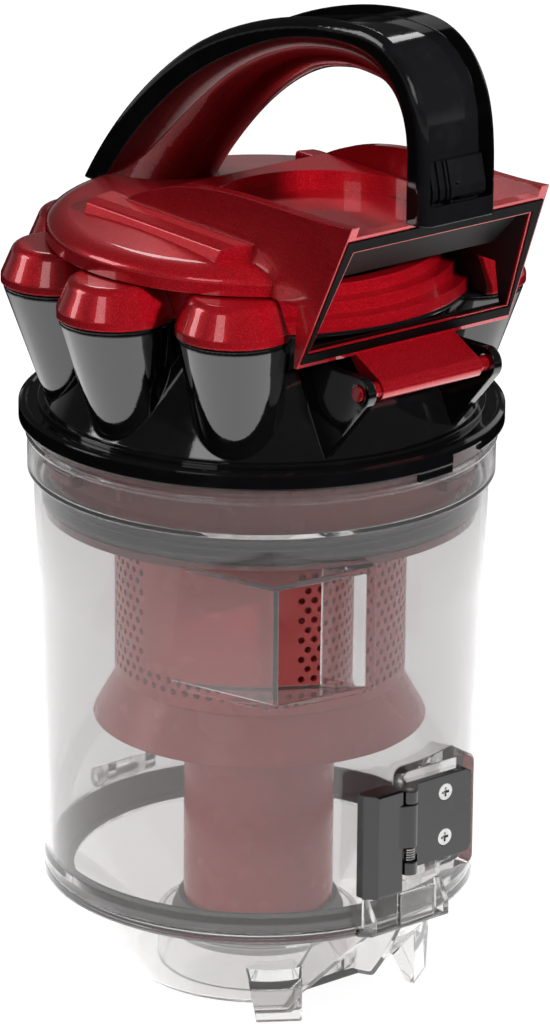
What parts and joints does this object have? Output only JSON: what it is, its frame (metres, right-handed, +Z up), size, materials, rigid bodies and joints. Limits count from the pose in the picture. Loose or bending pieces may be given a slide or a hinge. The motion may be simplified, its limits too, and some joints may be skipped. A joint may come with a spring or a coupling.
{
  "type": "cyclone dust bin",
  "caption": "Clear round dust bin of a cyclone vacuum cleaner, with a hinged bowl lid, a twist-locked cone pack with perforated shroud, and a hinged cover with outlet duct and arched handle.",
  "frame": {"origin": "centre of the round standing face under the lid, on the bin's axis", "axes": "+Z up along the bin's axis, -Y towards the outlet duct and the latch, +X to the right seen from the duct"},
  "size_m": [0.1662, 0.1756, 0.3299],
  "materials": {
    "clear": "clear, slightly smoky plastic",
    "black": "gloss black plastic",
    "steel": "bright steel",
    "grey_rubber": "matt grey rubber",
    "black_rubber": "matt black rubber",
    "red_plain": "satin red plastic",
    "red_metallic": "dark red metallic lacquer"
  },
  "bodies": {
    "bin": {"bin_shell": "clear", "latch_base": "black", "latch_screws": "steel", "latch_pin": "steel", "latch_spring": "steel", "lid_hinge_pin": "steel"},
    "lid": {"bowl_lid": "clear", "lid_seal": "grey_rubber"},
    "latch_lever": {"latch_lever": "black"},
    "head": {"lock_flange": "black", "carrier": "red_plain", "body_seal": "grey_rubber", "mesh_shroud": "red_plain", "shroud_skirt": "red_plain", "dust_tube": "red_plain", "tube_seal": "grey_rubber", "cone_housing": "black", "cone_gasket": "black_rubber", "vortex_plate": "black", "cap_ring": "red_metallic"},
    "cover": {"top_cover": "red_metallic", "duct_seal": "black_rubber", "handle_shell": "black", "handle_grip": "red_metallic", "handle_screws": "steel", "button_spring": "steel"},
    "release_button": {"release_button": "black"}
  },
  "joints": [
    {"name": "lid_hinge", "type": "hinge", "parent": "bin", "child": "lid", "pos_m": [0, 0.077, 0.041], "axis": [1, 0, 0], "range_deg": [0, 95]},
    {"name": "lever_hinge", "type": "hinge", "parent": "bin", "child": "latch_lever", "pos_m": [-0.004, -0.08, 0.07], "axis": [0, 0, 1], "range_deg": [0, 30], "stiffness_Nm_per_rad": 0.02},
    {"name": "head_twist", "type": "hinge", "parent": "bin", "child": "head", "pos_m": [0, 0, 0.185], "axis": [0, 0, 1], "range_deg": [0, 18]},
    {"name": "cover_hinge", "type": "hinge", "parent": "head", "child": "cover", "pos_m": [0, -0.0795, 0.2197], "axis": [1, 0, 0], "range_deg": [0, 75]},
    {"name": "button_slide", "type": "slide", "parent": "cover", "child": "release_button", "axis": [0, 0, -1], "range_m": [0, 0.0032], "stiffness_N_per_m": 400, "deforming": ["button_spring"]}
  ]
}
